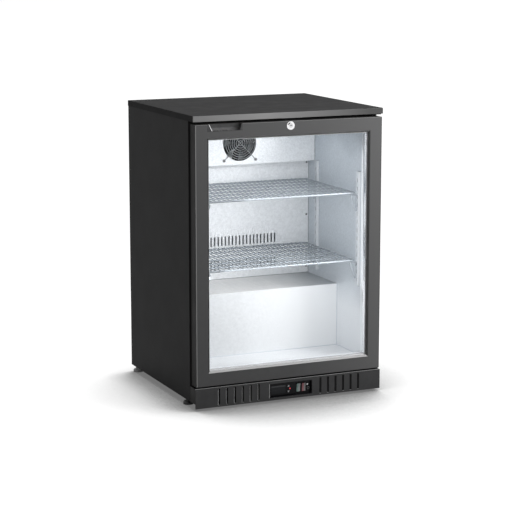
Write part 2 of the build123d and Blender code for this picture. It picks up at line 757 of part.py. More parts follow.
# ---- Inside: fan cover, duct, evaporator --------------------------------------------------------
def make_fan_cover():
    half = liner_x - cover_side_gap
    plate = block(-half, half, cover_y, cover_y + sheet, cover_z, ceiling_z)
    plate -= along_y(0, cover_y, fan_z, fan_bore_radius, sheet)
    flange = block(-half, half, cover_y + sheet, duct_y, cover_z, cover_z + sheet)
    save("fan_cover", plate, flange)
    duct = block(-half, half, duct_y, duct_y + sheet, step_z, cover_z + duct_overlap)
    slots = []
    for low, high in return_rows:
        for index in range(return_slots):
            x = (index - (return_slots - 1) / 2) * return_pitch
            slots.append(block(x - return_width / 2, x + return_width / 2, duct_y, duct_y + sheet,
                               step_z + low, step_z + high))
    save("duct_panel", duct - slots)
    duct_low, duct_high = step_z + duct_screw_margin, cover_z - duct_screw_margin / 2
    heads = []
    for z in (duct_low, (duct_low + duct_high) / 2, duct_high):
        heads += both_sides(along_y(half - duct_screw_inset, duct_y - screw_head, z, small_screw_radius,
                                    screw_head))
    return heads


def fan_rotor(radius, hub, length, blades, shaft, shaft_length):
    """Axial rotor along +Y from the origin, with its shaft to the rear."""
    rotor = along_y(0, 0, 0, hub, length)
    blade = Box(radius, blade_thickness, length * 1.3, align=(Align.MIN, Align.CENTER, Align.CENTER))
    blade = Pos(0, length / 2, 0) * (Rot(blade_pitch, 0, 0) * blade)
    swept = along_y(0, 0.5, 0, radius, length - 1) - along_y(0, 0, 0, hub - 1, length)
    for index in range(blades):
        rotor += (Rot(0, 360 / blades * index, 0) * blade) & swept
    return rotor + along_y(0, length, 0, shaft, shaft_length)


def make_evaporator_fan():
    y0 = cover_y + sheet
    half = fan_size / 2
    body = block(-half, half, y0, y0 + fan_depth, fan_z - half, fan_z + half)
    body -= along_y(0, y0, fan_z, fan_bore_radius, fan_depth)
    motor_y = y0 + fan_depth - fan_motor_depth
    arm_y, inner, outer = motor_y + fan_motor_depth / 2, fan_hub_radius - 4, fan_bore_radius + 4
    for angle in (45, 135, 225, 315):
        dx, dz = math.cos(math.radians(angle)), math.sin(math.radians(angle))
        body += rod((inner * dx, arm_y, fan_z + inner * dz), (outer * dx, arm_y, fan_z + outer * dz),
                    fan_arm_radius)
    body += along_y(0, motor_y, fan_z, fan_hub_radius - 1, fan_motor_depth)
    bearing_depth = fan_motor_depth - 1
    body -= along_y(0, motor_y, fan_z, fan_shaft_radius + running_clearance, bearing_depth)
    save("evaporator_fan_frame", body)
    rotor_y = y0 + fan_rotor_gap
    length = motor_y - rotor_y - 1
    rotor = fan_rotor(fan_rotor_radius, fan_hub_radius, length, fan_blades, fan_shaft_radius, bearing_depth)
    save("evaporator_fan_rotor", Pos(0, rotor_y, fan_z) * rotor)
    return make_fan_guard()


def make_fan_guard():
    """Rings on two crossed legs, with an eye under each of the four screws."""
    guard_y = cover_y - guard_standoff
    reach = (guard_first_radius + guard_ring_pitch * (guard_rings - 1)) / math.sqrt(2)
    eye = fan_screw_offset
    rim = eye - 0.6 * small_screw_radius * math.sqrt(2)
    foot_y = cover_y - guard_eye_thickness / 2
    pieces = []
    for side in (-1, 1):
        leg_y = guard_y + 1.5 * guard_wire_radius + 0.2 * side
        leg = [(-rim * side, foot_y, fan_z - rim), (-reach * side, leg_y, fan_z - reach),
               (reach * side, leg_y, fan_z + reach), (rim * side, foot_y, fan_z + rim)]
        pieces.append(wire(leg, guard_wire_radius, 2))
        pieces += [along_y(side * eye, cover_y - guard_eye_thickness, fan_z + dz, guard_eye_radius,
                           guard_eye_thickness) for dz in (-eye, eye)]
    for index in range(guard_rings):
        radius = guard_first_radius + guard_ring_pitch * index
        pieces.append(Plane(origin=(0, guard_y, fan_z), z_dir=(0, 1, 0)) * Torus(radius, guard_wire_radius))
    save("fan_guard", pieces[0].fuse(*pieces[1:]))
    head_y = cover_y - guard_eye_thickness - screw_head
    return [along_y(sx * eye, head_y, fan_z + sz * eye, small_screw_radius, screw_head)
            for sx in (-1, 1) for sz in (-1, 1)]


def finned_coil(centre, size, fins, pitch, rows, tube):
    """Fins across X with tubes through them: size is X reach, Y depth and Z height."""
    x, y, z = centre
    reach, deep, tall = size
    places = []
    for row in range(rows):
        for column in (-1, 1):
            places.append((y + column * deep / 4, z + (row - (rows - 1) / 2) * tall / rows))
    fin = block(-fin_thickness / 2, fin_thickness / 2, y - deep / 2, y + deep / 2, z - tall / 2, z + tall / 2)
    tubes = []
    for ty, tz in places:
        fin -= along_x(-fin_thickness, ty, tz, tube, 2 * fin_thickness)
        tubes.append(along_x(x - reach / 2, ty, tz, tube, reach))
    stack = [Pos(x + (index - (fins - 1) / 2) * pitch, 0, 0) * fin for index in range(fins)]
    return stack + tubes


def make_evaporator():
    reach = 2 * (liner_x - evaporator_side_gap)
    y0, y1 = duct_y + sheet, liner_back_y
    deep, tall, rows = y1 - y0 - 2 * evaporator_clearance, evaporator_height, 4
    y, z = (y0 + y1) / 2, cover_z - evaporator_drop
    fins = int((reach - 2 * evaporator_bare_end) / evaporator_pitch)
    coil = finned_coil((0, y, z), (reach, deep, tall), fins, evaporator_pitch, rows, tube_radius)
    end_x = reach / 2 - evaporator_end_inset
    plate = block(end_x, end_x + end_plate, y0, y1, z - tall / 2 - 3, z + tall / 2 + 3)
    plate -= [along_x(end_x, y + side * deep / 4, z + (row - (rows - 1) / 2) * tall / rows, tube_radius,
                      end_plate) for side in (-1, 1) for row in range(rows)]
    save("evaporator", *coil, *both_sides(plate))


def make_lamp():
    """Shallow trough under the ceiling, with a lens in its mouth."""
    half = liner_x - lamp_side_gap
    y0 = case_front_y + lamp_front_gap
    y1 = y0 + lamp_width
    low = ceiling_z - lamp_height
    inner = (-half + lamp_wall, half - lamp_wall, y0 + lamp_wall, y1 - lamp_wall)
    housing = block(-half, half, y0, y1, low, ceiling_z) - block(*inner, low, ceiling_z - lamp_wall)
    save("lamp_housing", housing)
    save("lamp_strip", block(*inner, low + 1, low + 1 + lamp_lens))


# ---- Shelves ------------------------------------------------------------------------------------
def make_shelves():
    length = shelf_back - shelf_front
    middle = (shelf_back + shelf_front) / 2
    outline = RectangleRounded(2 * shelf_half, length, shelf_corner).wire()
    rim = sweep(Plane(origin=outline @ 0, z_dir=outline % 0) * Circle(shelf_rim_radius), path=outline)
    cross_pitch = length / (shelf_cross_count + 1)
    bars = []
    for index in range(shelf_cross_count):
        y = -length / 2 + cross_pitch * (index + 1)
        bars.append(rod((-shelf_half, y, 0), (shelf_half, y, 0), shelf_cross_radius))
    count = int((shelf_half - shelf_corner) / shelf_wire_pitch)
    top = shelf_rim_radius - shelf_sink
    for index in range(-count, count + 1):
        x = index * shelf_wire_pitch
        bars.append(rod((x, -length / 2, top), (x, length / 2, top), shelf_wire_radius))
    shelf = rim.fuse(*bars)
    for name, level in zip(("shelf_lower", "shelf_upper"), shelf_levels):
        save(name, Pos(0, middle, level) * shelf)


def make_shelf_supports():
    face_x = liner_x - pilaster_depth
    strips = []
    for y in pilaster_ys:
        strip = block(face_x, liner_x, y, y + pilaster_width, pilaster_low, pilaster_high)
        strip -= block(face_x + pilaster_wall, liner_x, y + pilaster_wall,
                       y + pilaster_width - pilaster_wall, pilaster_low, pilaster_high)
        slot_y = y + pilaster_width / 2
        levels = [pilaster_low + slot_height + slot_pitch * index
                  for index in range(int((pilaster_high - pilaster_low - slot_height) / slot_pitch))]
        strip -= [block(face_x, face_x + pilaster_wall, slot_y - slot_width / 2,
                        slot_y + slot_width / 2, z, z + slot_height) for z in levels]
        strips += both_sides(strip)
    save("shelf_pilasters", *strips)
    clips = []
    for level in shelf_levels:
        top = level - shelf_rim_radius - shelf_rest_gap - clip_radius
        for y in pilaster_ys:
            middle = y + pilaster_width / 2
            x1 = face_x - clip_radius
            loop = [(x1, middle, top), (x1 - clip_reach, middle, top), (x1 - clip_reach, middle, top - 6),
                    (x1, middle, top - clip_drop)]
            clips += both_sides(wire(loop, clip_radius, 2.5, close=True))
    save("shelf_clips", *clips)


# ---- Compressor bay -----------------------------------------------------------------------------
def make_compressor():
    x, y = compressor_x, compressor_y
    base_x, base_y = compressor_base[:2]
    base_z = pan_z + mount_height
    base = block(x - base_x / 2, x + base_x / 2, y - base_y / 2, y + base_y / 2, base_z, compressor_z)
    mount_x, mount_y = base_x / 2 - mount_inset[0], base_y / 2 - mount_inset[1]
    save("compressor_mounts", *(upright(x + dx, y + dy, pan_z, mount_radius, mount_height)
                                for dx in (-mount_x, mount_x) for dy in (-mount_y, mount_y)))
    pot = upright(x, y, compressor_z, compressor_radius, compressor_height)
    pot = fillet(pot.edges().sort_by(Axis.Z)[-1], compressor_radius * 0.45)
    pot += upright(x, y, compressor_z + compressor_height * 0.55, compressor_radius + 2, 6)
    pot -= upright(x, y, compressor_z, compressor_radius - compressor_wall,
                   compressor_height - 3 * compressor_wall)
    save("compressor", pot, base)
    half_x, half_y, tall = tray_size[0] / 2, tray_size[1] / 2, tray_size[2]
    tray_z = compressor_z + compressor_height
    tray = block(x - half_x, x + half_x, y - half_y, y + half_y, tray_z, tray_z + tall)
    half_x, half_y = half_x - tray_wall, half_y - tray_wall
    tray -= block(x - half_x, x + half_x, y - half_y, y + half_y, tray_z + tray_wall, tray_z + tall)
    save("drain_tray", tray)


def make_condenser():
    x, z = condenser_x, condenser_z
    coil = finned_coil((x, condenser_y, z), (condenser_reach, condenser_thickness, condenser_height),
                       condenser_fins, condenser_pitch, 5, tube_radius)
    save("condenser", *coil)
    half = condenser_reach / 2 - condenser_bare_end / 2
    y0 = condenser_y + condenser_thickness / 2 + 1
    y1 = y0 + shroud_thickness
    shroud = block(x - half, x + half, y0, y1, pan_z, z + condenser_height / 2 + condenser_lift)
    shroud -= along_y(x, y0, z, condenser_fan_radius + condenser_tip_gap, shroud_thickness)
    for foot_x0 in (x - half, x + half - shroud_thickness):
        shroud += block(foot_x0, foot_x0 + shroud_thickness, y0 - condenser_thickness - 2, y0, pan_z,
                        pan_z + condenser_lift)
    save("condenser_shroud", shroud)
    motor_y = y0 + condenser_motor_gap
    motor = along_y(x, motor_y, z, condenser_motor_radius, condenser_motor_length)
    arm_y, ring = motor_y + condenser_motor_length / 2, condenser_fan_radius + condenser_tip_gap + 1
    for angle in (90, 210, 330):
        dx, dz = math.cos(math.radians(angle)), math.sin(math.radians(angle))
        motor += rod((x + 20 * dx, arm_y, z + 20 * dz), (x + ring * dx, arm_y, z + ring * dz), shaft_radius)
        motor += along_y(x + ring * dx, y1, z + ring * dz, shaft_radius, arm_y - y1 + 1)
    bearing_depth = 12
    motor -= along_y(x, motor_y, z, shaft_radius + running_clearance, bearing_depth)
    save("condenser_fan_motor", motor)
    rotor_y, length = y0 + 3, 24
    shaft_length = motor_y + bearing_depth - 1 - rotor_y - length
    rotor = fan_rotor(condenser_fan_radius, condenser_hub_radius, length, 5, shaft_radius, shaft_length)
    save("condenser_fan_rotor", Pos(x, rotor_y, z) * rotor)


def make_pipework():
    """Discharge line from the compressor to the coil, and the drier on the coil's outlet."""
    shell_x, end_x = compressor_x + compressor_radius, condenser_x - condenser_reach / 2
    tube_y = condenser_y - condenser_thickness / 4
    inlet_z, outlet_z = (condenser_z + row * condenser_height / 5 for row in (2, -2))
    line_z = compressor_z + compressor_height * 0.3
    bend_x = (shell_x + end_x) / 2
    discharge = wire([(shell_x, compressor_y, line_z), (bend_x, compressor_y, line_z),
                      (bend_x, (compressor_y + tube_y) / 2, inlet_z), (bend_x + 20, tube_y, inlet_z),
                      (end_x, tube_y, inlet_z)], pipe_radius, 9)
    drier_end = end_x - 12
    drier = along_x(drier_end - drier_length, tube_y, outlet_z, drier_radius, drier_length)
    liquid = along_x(drier_end, tube_y, outlet_z, pipe_radius, end_x - drier_end)
    save("refrigerant_pipes", discharge, drier, liquid)


# ---- Feet ---------------------------------------------------------------------------------------
def make_feet():
    names = (("front", foot_ys[0]), ("rear", foot_ys[1]))
    for end, y in names:
        for side, x in (("left", -foot_x), ("right", foot_x)):
            pad = chamfer(upright(x, y, 0, foot_radius, foot_pad).edges().sort_by(Axis.Z)[-1], 2)
            stem = upright(x, y, foot_pad, foot_stem_radius, foot_stem_top - foot_pad)
            hexagon = Pos(x, y, foot_pad) * extrude(RegularPolygon(8, 6), amount=foot_height - foot_pad - 0.3)
            save(f"foot_{end}_{side}", pad + stem + hexagon)


os.makedirs("parts", exist_ok=True)
make_base_pan()
make_case()
make_insulation()
make_liner()
make_worktop()
make_door_frame()
make_corner_keys()
make_glazing()
make_gasket()
make_finger_pull()
make_lock()
make_kick_plate()
make_controls()
make_evaporator()
make_lamp()
make_shelves()
make_shelf_supports()
make_compressor()
make_condenser()
make_pipework()
make_feet()
save("screws", *make_back_grille(), *make_hinges(), *make_fan_cover(), *make_evaporator_fan())
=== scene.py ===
import math

import bmesh
import bpy
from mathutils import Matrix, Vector


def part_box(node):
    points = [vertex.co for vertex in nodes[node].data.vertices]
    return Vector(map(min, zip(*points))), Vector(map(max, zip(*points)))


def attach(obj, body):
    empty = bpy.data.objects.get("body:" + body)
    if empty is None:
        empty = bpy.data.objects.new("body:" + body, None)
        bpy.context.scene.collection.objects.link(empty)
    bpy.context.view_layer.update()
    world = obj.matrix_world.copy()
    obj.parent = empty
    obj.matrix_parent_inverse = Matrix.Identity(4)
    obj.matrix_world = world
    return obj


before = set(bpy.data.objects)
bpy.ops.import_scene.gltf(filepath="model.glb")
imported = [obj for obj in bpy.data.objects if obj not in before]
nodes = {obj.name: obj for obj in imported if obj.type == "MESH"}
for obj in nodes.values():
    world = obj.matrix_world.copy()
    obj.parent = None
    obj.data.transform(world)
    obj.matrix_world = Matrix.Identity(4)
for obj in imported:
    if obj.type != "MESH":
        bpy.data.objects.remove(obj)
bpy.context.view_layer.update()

SKY = 0.55  # dome's strength for light, level and to the front
SKY_TILT = 0.36  # how much brighter it is to the right, and darker to the left
FLOOR_GLOW = 0.95  # what the floor adds where it is seen
LENS = 122.46  # mm
CAMERA_PLACE = (-2.1117, -4.7499, 1.3441)
CAMERA_TURN, CAMERA_DIP = 24.07, 10.42  # degrees to the right and down
FRONT, LEFT, UP = (0, -1, 0), (-1, 0, 0), (0, 0, 1)  # directions a face can look
EVEN = (1, 1, 1)  # a pattern that is not stretched


# ---- Camera ---------------------------------------------------------------------------------
def make_camera():
    """Long lens from the front left, half a metre above the worktop."""
    data = bpy.data.cameras.new("camera")
    data.lens = LENS
    data.clip_start, data.clip_end = 0.1, 60
    camera = bpy.data.objects.new("camera", data)
    camera.location = CAMERA_PLACE
    turn, dip = math.radians(CAMERA_TURN), math.radians(CAMERA_DIP)
    camera.rotation_euler = (math.pi / 2 - dip, 0, -turn)
    bpy.context.scene.collection.objects.link(camera)
    bpy.context.scene.camera = camera


# ---- Materials ------------------------------------------------------------------------------
class Surface:
    """A procedural material that grows node by node, in object coordinates (metres)."""

    def __init__(self, name, colour, roughness, metallic=0.0):
        self.material = bpy.data.materials.new(name)
        self.material.use_nodes = True
        self.tree = self.material.node_tree
        self.shader = self.tree.nodes["Principled BSDF"]
        self.colour = (*colour, 1)
        self.roughness = roughness
        self.set("Base Color", self.colour)
        self.set("Roughness", roughness)
        self.set("Metallic", metallic)
        self.place = self.node("ShaderNodeTexCoord").outputs["Object"]

    def node(self, kind, **values):
        made = self.tree.nodes.new(kind)
        for key, value in values.items():
            setattr(made, key, value)
        return made

    def link(self, start, end):
        self.tree.links.new(start, end)

    def set(self, socket, value):
        self.shader.inputs[socket].default_value = value

    def stretched(self, scale):
        mapping = self.node("ShaderNodeMapping")
        mapping.inputs["Scale"].default_value = scale
        self.link(self.place, mapping.inputs["Vector"])
        return mapping.outputs["Vector"]

    def noise(self, scale, detail, stretch=EVEN):
        noise = self.node("ShaderNodeTexNoise")
        noise.inputs["Scale"].default_value = scale
        noise.inputs["Detail"].default_value = detail
        self.link(self.stretched(stretch), noise.inputs["Vector"])
        return noise.outputs["Fac"]

    def ranged(self, value, low, high, start=0.3, stop=0.7):
        ranged = self.node("ShaderNodeMapRange")
        for key, number in (("From Min", start), ("From Max", stop), ("To Min", low), ("To Max", high)):
            ranged.inputs[key].default_value = number
        self.link(value, ranged.inputs["Value"])
        return ranged.outputs["Result"]

    def mottle(self, scale, spread, stretch=EVEN):
        """Colour goes from darker to lighter by spread, in patches."""
        factor = self.ranged(self.noise(scale, 4, stretch), 0, 1)
        ramp = self.node("ShaderNodeMix", data_type="RGBA")
        ramp.inputs["A"].default_value = tuple(c * (1 - spread) for c in self.colour[:3]) + (1,)
        ramp.inputs["B"].default_value = tuple(min(1, c * (1 + spread)) for c in self.colour[:3]) + (1,)
        self.link(factor, ramp.inputs["Factor"])
        self.link(ramp.outputs["Result"], self.shader.inputs["Base Color"])
        self.tint = ramp.outputs["Result"]
        return self

    def smudge(self, scale, spread):
        """Roughness varies in patches."""
        low, high = max(0.02, self.roughness - spread), self.roughness + spread
        self.link(self.ranged(self.noise(scale, 3), low, high), self.shader.inputs["Roughness"])
        return self

    def bump(self, height, depth):
        bump = self.node("ShaderNodeBump")
        bump.inputs["Strength"].default_value = 1.0
        bump.inputs["Distance"].default_value = depth
        self.link(height, bump.inputs["Height"])
        self.link(bump.outputs["Normal"], self.shader.inputs["Normal"])
        return self

    def grain(self, scale, depth, stretch=EVEN):
        """Fine bumps, depth metres high."""
        return self.bump(self.noise(scale, 2, stretch), depth)

    def towards(self, direction, start=0.80, stop=0.95):
        """Mask: where the surface faces along a direction of its own object."""
        normal = self.node("ShaderNodeTexCoord").outputs["Normal"]
        dot = self.node("ShaderNodeVectorMath", operation="DOT_PRODUCT")
        self.link(normal, dot.inputs[0])
        dot.inputs[1].default_value = Vector(direction).normalized()
        return self.ranged(dot.outputs["Value"], 0, 1, start, stop)

    def past(self, axis, start, stop):
        """Mask: rises from start to stop along an axis."""
        parts = self.node("ShaderNodeSeparateXYZ")
        self.link(self.place, parts.inputs["Vector"])
        return self.ranged(parts.outputs[axis], 0, 1, start, stop)

    def both(self, first, second):
        """Mask: where two masks overlap."""
        product = self.node("ShaderNodeMath", operation="MULTIPLY")
        self.link(first, product.inputs[0])
        self.link(second, product.inputs[1])
        return product.outputs[0]

    def paint(self, mask, colour):
        """Another colour under a mask."""
        mix = self.node("ShaderNodeMix", data_type="RGBA")
        self.link(self.tint, mix.inputs["A"])
        mix.inputs["B"].default_value = (*colour, 1)
        self.link(mask, mix.inputs["Factor"])
        self.link(mix.outputs["Result"], self.shader.inputs["Base Color"])
        self.tint = mix.outputs["Result"]
        return self

    def shade(self, mask, tone):
        """A neutral grey under a mask."""
        return self.paint(mask, (tone, tone, tone))

    def cells(self, scale):
        voronoi = self.node("ShaderNodeTexVoronoi", feature="SMOOTH_F1")
        voronoi.inputs["Scale"].default_value = scale
        self.link(self.stretched(EVEN), voronoi.inputs["Vector"])
        return voronoi.outputs["Distance"]

    def glow(self, colour, strength):
        self.set("Emission Color", (*colour, 1))
        self.set("Emission Strength", strength)
        return self


def powder_coat():
    """Black powder coat on sheet steel, with its fine orange peel."""
    surface = Surface("powder_black", (0.031, 0.031, 0.0315), 0.55).mottle(60, 0.02).smudge(14, 0.02)
    surface.set("Specular IOR Level", 0.03)
    return surface.grain(900, 0.00002)


def worktop_coat():
    """Black coated worktop, with a painted highlight on its rolled front edge."""
    surface = Surface("worktop_black", (0.024, 0.024, 0.0245), 0.6).mottle(60, 0.03)
    front = surface.towards(FRONT, 0.5, 0.9)
    # painted highlight on the rolled front edge: lightest left of the middle, darker towards the right
    surface.shade(front, 0.23)
    for start, stop, tone in ((-0.27, -0.10, 0.275), (-0.08, 0.26, 0.080)):
        surface.shade(surface.both(front, surface.past("X", start, stop)), tone)
    surface.set("Specular IOR Level", 0.02)
    return surface.smudge(20, 0.03).grain(1100, 0.00002)


def door_coat():
    """Dark satin coat on the door's extruded frame, with painted light: lighter towards the top and right,
    painted highlights on its outer left edge and inner bevels, painted shade on its left side, left bevel
    and right edge.
    """
    surface = Surface("door_black", (0.080, 0.080, 0.081), 0.5).mottle(60, 0.03)
    front = surface.towards(FRONT)
    # painted light: the front is painted lighter towards the top and towards the right
    surface.paint(surface.both(front, surface.past("Z", 0.25, 0.80)), (0.100, 0.100, 0.101))
    surface.paint(surface.both(front, surface.past("X", 0.0, 0.28)), (0.112, 0.112, 0.113))
    # painted shade on the faces that look left
    surface.shade(surface.towards(LEFT, 0.9, 0.98), 0.010)
    # painted shade on faces turned right and front; painted highlights on bevels and edges turned left, up
    # or down, and front
    rising, sharp = (0, -0.75, 0.66), (0.93, 0.985)
    for direction, tone in (((1, -1, 0), 0.008), ((-1, -1, 0), 0.10), (rising, 0.20), ((0, -1, -1), 0.20)):
        surface.shade(surface.towards(direction, *sharp), tone)
    # a brighter painted highlight on the bottom bar's bevel only, and not on the edge along the door's top
    surface.shade(surface.both(surface.towards(rising, *sharp), surface.past("Z", 0.20, 0.15)), 0.42)
    # painted highlight along the outer left edge, painted shade along the right edge
    left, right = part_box("door_frame")[0][0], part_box("door_frame")[1][0]
    for start, stop, tone in ((left + 0.0036, left + 0.0024, 0.26), (right - 0.0030, right - 0.0020, 0.055)):
        surface.shade(surface.both(front, surface.past("X", start, stop)), tone)
    surface.set("Specular IOR Level", 0.06)
    return surface.smudge(18, 0.03).grain(1400, 0.00002)


def kick_plastic():
    """Moulded black plastic, with painted highlights on the slanted louvre blades that face right and front
    and along the top edge, and painted shade on the faces that look left.
    """
    surface = Surface("kick_plastic", (0.050, 0.050, 0.051), 0.55).mottle(40, 0.08)
    # painted highlight on the left group's slanted louvre blades
    blades = surface.towards((0.68, -0.74, 0), 0.93, 0.98)
    surface.shade(blades, 0.80)
    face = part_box("kick_plate")[0][1]
    # painted highlight along the front of the top edge
    surface.shade(surface.both(surface.towards(UP), surface.past("Y", face + 0.005, face + 0.003)), 0.42)
    # painted shade on the faces that look left
    surface.shade(surface.towards(LEFT), 0.016)
    surface.set("Specular IOR Level", 0.10)
    return surface.smudge(30, 0.04).grain(1700, 0.00003)


def black_plastic():
    return Surface("black_plastic", (0.018, 0.018, 0.019), 0.5).mottle(60, 0.12).grain(1500, 0.00007)


def fan_plastic():
    """Matt black plastic of the fan, dull with cold."""
    surface = Surface("fan_black", (0.004, 0.004, 0.0045), 0.8).mottle(60, 0.12)
    surface.set("Specular IOR Level", 0.02)
    return surface.grain(1500, 0.00007)


def gloss_plastic():
    surface = Surface("gloss_black", (0.006, 0.006, 0.007), 0.22).mottle(50, 0.15).smudge(35, 0.05)
    surface.set("Specular IOR Level", 0.15)
    return surface.grain(400, 0.00001)


def recess_plastic():
    """Gloss black recess, with a painted highlight along its left rim."""
    surface = gloss_plastic()
    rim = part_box("control_housing")[0][0]
    # painted highlight: a light line along the left rim of the front face
    surface.shade(surface.both(surface.past("X", rim + 0.0017, rim + 0.0014), surface.towards(FRONT)), 0.34)
    return surface


def guard_chrome():
    """Plated guard wire, cold and slightly dull."""
    surface = Surface("guard_chrome", (0.27, 0.275, 0.28), 0.35, 0.2).mottle(150, 0.06)
    return surface.smudge(120, 0.08)


def pull_plastic():
    """Gloss black scoop, with a painted highlight where its rounded bottom turns up, and painted light on
    its end wall that looks left.
    """
    surface = Surface("pull_black", (0.008, 0.008, 0.0085), 0.28).mottle(50, 0.1)
    # painted highlight where the bottom turns up towards the front
    surface.paint(surface.towards((0, -0.6, 0.8), 0.30, 1.0), (0.13, 0.13, 0.132))
    # painted light on the faces that look left, which the lamps leave dark
    surface.paint(surface.towards(LEFT, 0.6, 0.9), (0.07, 0.07, 0.071))
    surface.set("Specular IOR Level", 0.2)
    return surface.smudge(35, 0.05).grain(400, 0.00001)


def lens():
    """Smoked window over the display, with a painted reflection: a grey band along its top."""
    surface = Surface("display_lens", (0.012, 0.013, 0.015), 0.12).mottle(80, 0.1)
    surface.set("Specular IOR Level", 0.2)
    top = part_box("controller_display")[1][2]
    # painted reflection along the window's top
    surface.paint(surface.past("Z", top - 0.0048, top - 0.0040), (0.050, 0.052, 0.055))
    return surface.smudge(20, 0.03)


def clear_glass():
    """Low-iron double glazing with the faintest dust."""
    surface = Surface("glass", (0.06, 0.07, 0.07), 0.03).mottle(6, 0.05)
    surface.set("Alpha", 0.015)
    surface.set("IOR", 1.45)
    return surface.smudge(9, 0.02)


def stucco(name, colour, roughness, metallic):
    """Embossed liner sheet: small raised pebbles over the whole face."""
    surface = Surface(name, colour, roughness, metallic).mottle(150, 0.08)
    return surface.smudge(40, 0.05).bump(surface.cells(210), 0.00045)


def liner_wall():
    """Embossed wall, with painted light: lighter below the compressor step and on its upward faces."""
    surface = stucco("liner_wall", (0.56, 0.60, 0.64), 0.36, 0.2)
    step_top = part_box("step_cover")[1][2]
    # painted light: lighter below the compressor step, where light through the door falls
    surface.paint(surface.past("Z", step_top + 0.04, step_top - 0.06), (0.80, 0.82, 0.84))
    # painted light on the upward faces
    surface.paint(surface.towards(UP), (0.74, 0.755, 0.77))
    return surface


def step_sheet():
    """Aluminium cover of the compressor step: embossed white front, brushed bare top, with painted shade
    towards the sheet's left and on the top's right end.
    """
    surface = Surface("step_sheet", (0.65, 0.665, 0.68), 0.38, 0.15).mottle(150, 0.06)
    # painted shade: the sheet is darker towards the left
    surface.paint(surface.past("X", -0.08, 0.20), (0.84, 0.855, 0.87))
    top = surface.towards(UP, 0.5, 0.9)
    surface.paint(top, (0.90, 0.885, 0.865))
    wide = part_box("step_cover")[1][0]
    # painted shade on the right end of the top
    surface.paint(surface.both(top, surface.past("X", wide * 0.3, wide)), (0.34, 0.36, 0.38))
    streaks = surface.ranged(surface.noise(300, 2, (1, 0.02, 1)), 0, 0.22)
    surface.paint(surface.both(top, streaks), (0.40, 0.41, 0.42))
    return surface.smudge(40, 0.05).grain(300, 0.00008, (1, 30, 30))


def galvanised():
    """Zinc spangle."""
    surface = Surface("galvanised", (0.50, 0.51, 0.52), 0.38, 0.85).mottle(95, 0.12)
    return surface.smudge(45, 0.10).grain(200, 0.00004)


def brushed_zinc():
    return Surface("zinc_plate", (0.42, 0.42, 0.43), 0.32, 0.9).mottle(90, 0.08).grain(500, 0.00004)


def dark_zinc():
    """Blackened screw heads."""
    return Surface("screw_zinc", (0.16, 0.16, 0.165), 0.35, 0.8).mottle(200, 0.15).grain(900, 0.00004)


def chrome():
    return Surface("chrome", (0.86, 0.86, 0.87), 0.14, 1.0).mottle(60, 0.04).smudge(80, 0.05).grain(
        700, 0.00001)


def lock_chrome():
    """Chromed lock plug, with painted shade in its key slot below the face."""
    surface = Surface("lock_chrome", (0.60, 0.60, 0.61), 0.22, 1.0).mottle(160, 0.15)
    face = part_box("lock_plug")[0][1]
    # painted shade in the key slot
    surface.shade(surface.past("Y", face + 0.0003, face + 0.0008), 0.004)
    return surface.smudge(80, 0.05)


def spacer_sheet():
    """Rolled aluminium between the panes: its upright bars are bright, and its upward faces are darker."""
    surface = Surface("spacer", (0.94, 0.95, 0.96), 0.20).mottle(70, 0.03)
    surface.paint(surface.towards(UP), (0.48, 0.48, 0.49))
    surface.link(surface.towards(LEFT), surface.shader.inputs["Metallic"])
    return surface.smudge(60, 0.03)


def upright_steel():
    """White-coated slotted strip, with painted light on its front faces."""
    surface = Surface("pilaster", (0.62, 0.65, 0.68), 0.35).mottle(90, 0.05)
    # painted light on the faces that look to the front
    surface.paint(surface.towards(FRONT), (0.68, 0.70, 0.72))
    return surface.smudge(60, 0.04).grain(900, 0.00004)


def wire_coat():
    """Zinc-plated and lacquered shelf wire."""
    surface = Surface("wire_coat", (0.34, 0.37, 0.40), 0.32, 0.5)
    return surface.mottle(160, 0.10).smudge(100, 0.06)


def rubber():
    surface = Surface("rubber", (0.014, 0.014, 0.015), 0.65).mottle(120, 0.15)
    surface.set("Specular IOR Level", 0.2)
    return surface.grain(900, 0.00008)


def aluminium_fins():
    return Surface("coil_aluminium", (0.72, 0.73, 0.74), 0.3, 0.9).mottle(80, 0.08).grain(400, 0.00004)


def copper():
    return Surface("copper", (0.72, 0.38, 0.24), 0.28, 1.0).mottle(70, 0.14).smudge(60, 0.10).grain(
        300, 0.00003)


def compressor_paint():
    return Surface("compressor_paint", (0.014, 0.014, 0.015), 0.25).mottle(30, 0.15).smudge(30, 0.08).grain(
        260, 0.0001)


def plain(name, colour, roughness):
    return Surface(name, colour, roughness).mottle(70, 0.05).smudge(60, 0.04).grain(900, 0.00004)


def rocker(name, node, left, right):
    """Two-colour rocker: a lens on the left part and a grey body on the right."""
    low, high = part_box(node)
    surface = Surface(name, left, 0.3).mottle(90, 0.06)
    split = (low[0] + high[0]) / 2
    surface.paint(surface.past("X", split - 0.001, split + 0.001), right)
    return surface.smudge(60, 0.04).grain(900, 0.00002)


def board():
    """Chipboard: flakes of two browns."""
    return Surface("board", (0.52, 0.38, 0.24), 0.75).mottle(160, 0.3, (1, 1, 3)).grain(300, 0.0002)


def foam():
    return Surface("foam", (0.84, 0.74, 0.48), 0.9).mottle(240, 0.12).grain(500, 0.0003)


